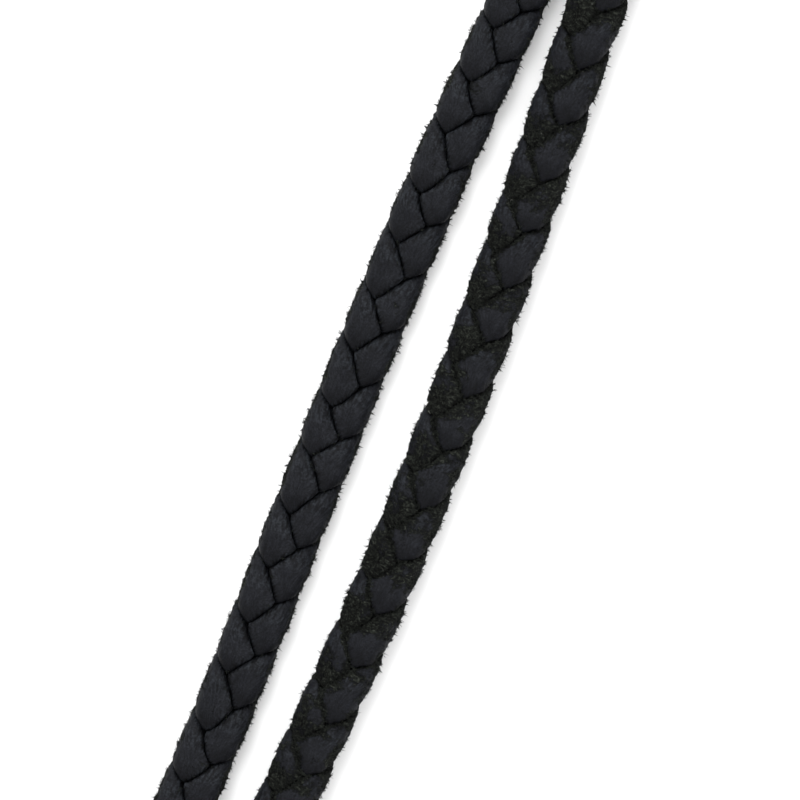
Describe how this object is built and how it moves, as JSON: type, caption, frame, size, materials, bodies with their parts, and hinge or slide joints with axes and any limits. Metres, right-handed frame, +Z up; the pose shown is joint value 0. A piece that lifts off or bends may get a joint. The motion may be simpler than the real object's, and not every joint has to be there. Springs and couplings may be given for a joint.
{
  "type": "braided leather necklace",
  "caption": "Narrow flat braid of leather laces in a closed loop, its two ends held in a plain flat steel clasp sleeve, lying as a long slim loop.",
  "frame": {"origin": "on the surface under the necklace, below the middle of its box", "axes": "+Y along the laid loop from the clasp sleeve towards the far bend, +X across it, +Z up from the surface"},
  "size_m": [0.0458, 0.2323, 0.0056],
  "materials": {
    "leather": "dark grey grain leather, satin, with rough suede undersides",
    "steel": "plain stainless steel, finely brushed"
  },
  "bodies": {
    "root": {"braid_strand_1": "leather", "braid_strand_2": "leather", "braid_strand_3": "leather", "clasp_sleeve": "steel"}
  },
  "joints": []
}
